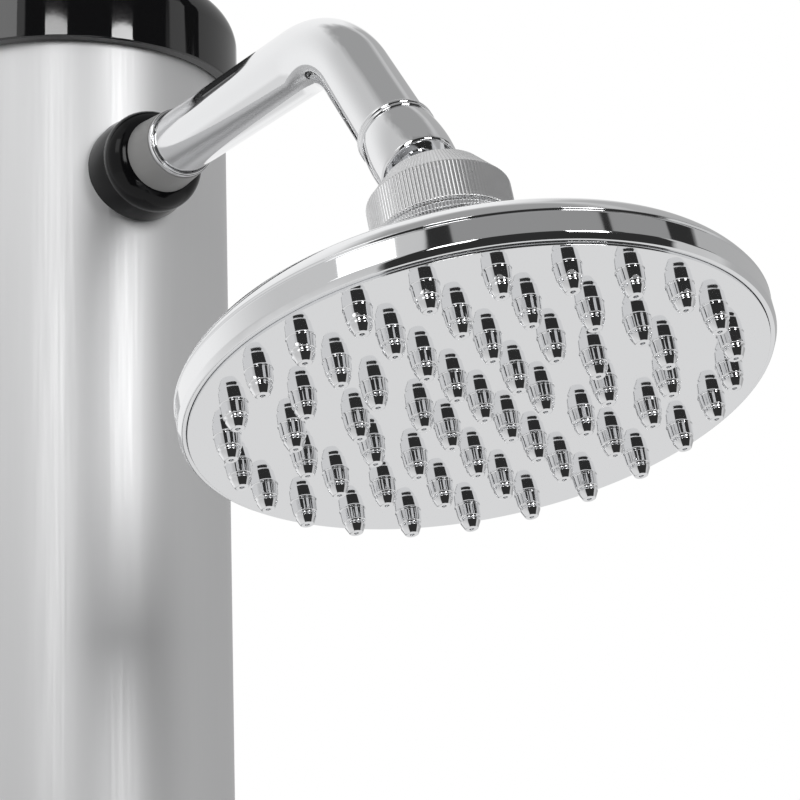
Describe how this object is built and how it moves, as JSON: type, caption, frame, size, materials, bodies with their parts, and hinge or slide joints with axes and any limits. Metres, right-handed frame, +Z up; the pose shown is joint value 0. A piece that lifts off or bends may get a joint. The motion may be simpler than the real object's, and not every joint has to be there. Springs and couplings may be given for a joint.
{
  "type": "outdoor shower post",
  "caption": "Free-standing outdoor shower post: satin aluminium tube on a black floor flange, black domed cap, lever mixer, chrome elbowed arm and a round rain head on a knurled swivel.",
  "frame": {"origin": "On the floor, at the centre of the pad's underside, on the axis of the tube and of the floor bolt circle.", "axes": "+Z up along the tube; -Y is the front, where the arm, the head and the mixer point; +X is the user's right when facing the post from behind it."},
  "size_m": [0.2, 0.4163, 2.146],
  "materials": {
    "tube_aluminium": "satin",
    "black_gloss": "gloss",
    "black_paint": "satin",
    "black_plastic": "matte",
    "grey_plastic": "matte",
    "chrome": "polished",
    "chrome_plastic": "chrome plated",
    "white_plastic": "matte",
    "rubber": "matte",
    "brass": "machined",
    "steel": "brushed"
  },
  "bodies": {
    "post": {"floor_gasket": "rubber", "base_flange": "black_paint", "socket_screws": "steel", "tank_plug": "black_plastic", "tank_plug_seal": "rubber", "lower_tube": "tube_aluminium", "joint_ring": "black_plastic", "joint_seals": "rubber", "upper_tube": "tube_aluminium", "top_cap": "black_gloss", "cap_seal": "rubber", "arm_rosette": "black_gloss", "arm_sleeve": "grey_plastic", "sleeve_ring": "chrome", "arm_locknut": "brass", "arm_washer": "rubber", "arm_ferrule": "brass", "shower_arm": "chrome", "collar_seal": "rubber", "swivel_collar": "chrome", "valve_body": "brass", "cartridge": "white_plastic", "cartridge_nut": "brass", "mixer_bonnet": "chrome", "mixer_rosette": "black_gloss", "cold_pipe": "steel", "hot_pipe": "steel", "riser_pipe": "steel", "inlet_nipple": "chrome", "inlet_washer": "rubber", "inlet_locknut": "brass", "inlet_tee": "brass", "drain_boss": "steel", "drain_seal": "rubber"},
    "seat": {"ball_seat": "white_plastic"},
    "seal": {"ball_seal": "rubber"},
    "head": {"head_shell": "chrome_plastic", "head_neck": "brass", "neck_locknut": "brass", "face_plate": "chrome_plastic", "face_seal": "rubber"},
    "nut": {"swivel_nut": "chrome"},
    "rotor": {"mixer_rotor": "brass", "pivot_pin": "steel"},
    "lever": {"mixer_lever": "chrome", "mixer_stem": "steel", "lever_screw": "steel", "index_cap": "black_gloss"},
    "drain": {"drain_plug": "chrome"}
  },
  "joints": [
    {"name": "head_tilt", "type": "hinge", "parent": "post", "child": "seat", "pos_m": [0, -0.22903, 2.00572], "axis": [1, 0, 0], "range_deg": [-50, 4]},
    {"name": "head_sway", "type": "hinge", "parent": "seat", "child": "seal", "pos_m": [0, -0.22903, 2.00572], "axis": [0, 0.9632, -0.2689], "range_deg": [-12, 12]},
    {"name": "head_spin", "type": "hinge", "parent": "seal", "child": "head", "pos_m": [0, -0.22903, 2.00572], "axis": [0, 0.2689, 0.9632], "continuous": true},
    {"name": "nut_turn", "type": "hinge", "parent": "head", "child": "nut", "pos_m": [0, -0.22903, 2.00572], "axis": [0, 0.2689, 0.9632], "range_deg": [0, 90]},
    {"name": "mixer_turn", "type": "hinge", "parent": "post", "child": "rotor", "pos_m": [0, -0.066, 0.96], "axis": [0, -1, 0], "range_deg": [-45, 45]},
    {"name": "mixer_lift", "type": "hinge", "parent": "rotor", "child": "lever", "pos_m": [0, -0.066, 0.96], "axis": [-1, 0, 0], "range_deg": [0, 20]},
    {"name": "drain_turn", "type": "hinge", "parent": "post", "child": "drain", "pos_m": [0, 0.058, 0.088], "axis": [0, 1, 0], "range_deg": [0, 270]}
  ]
}
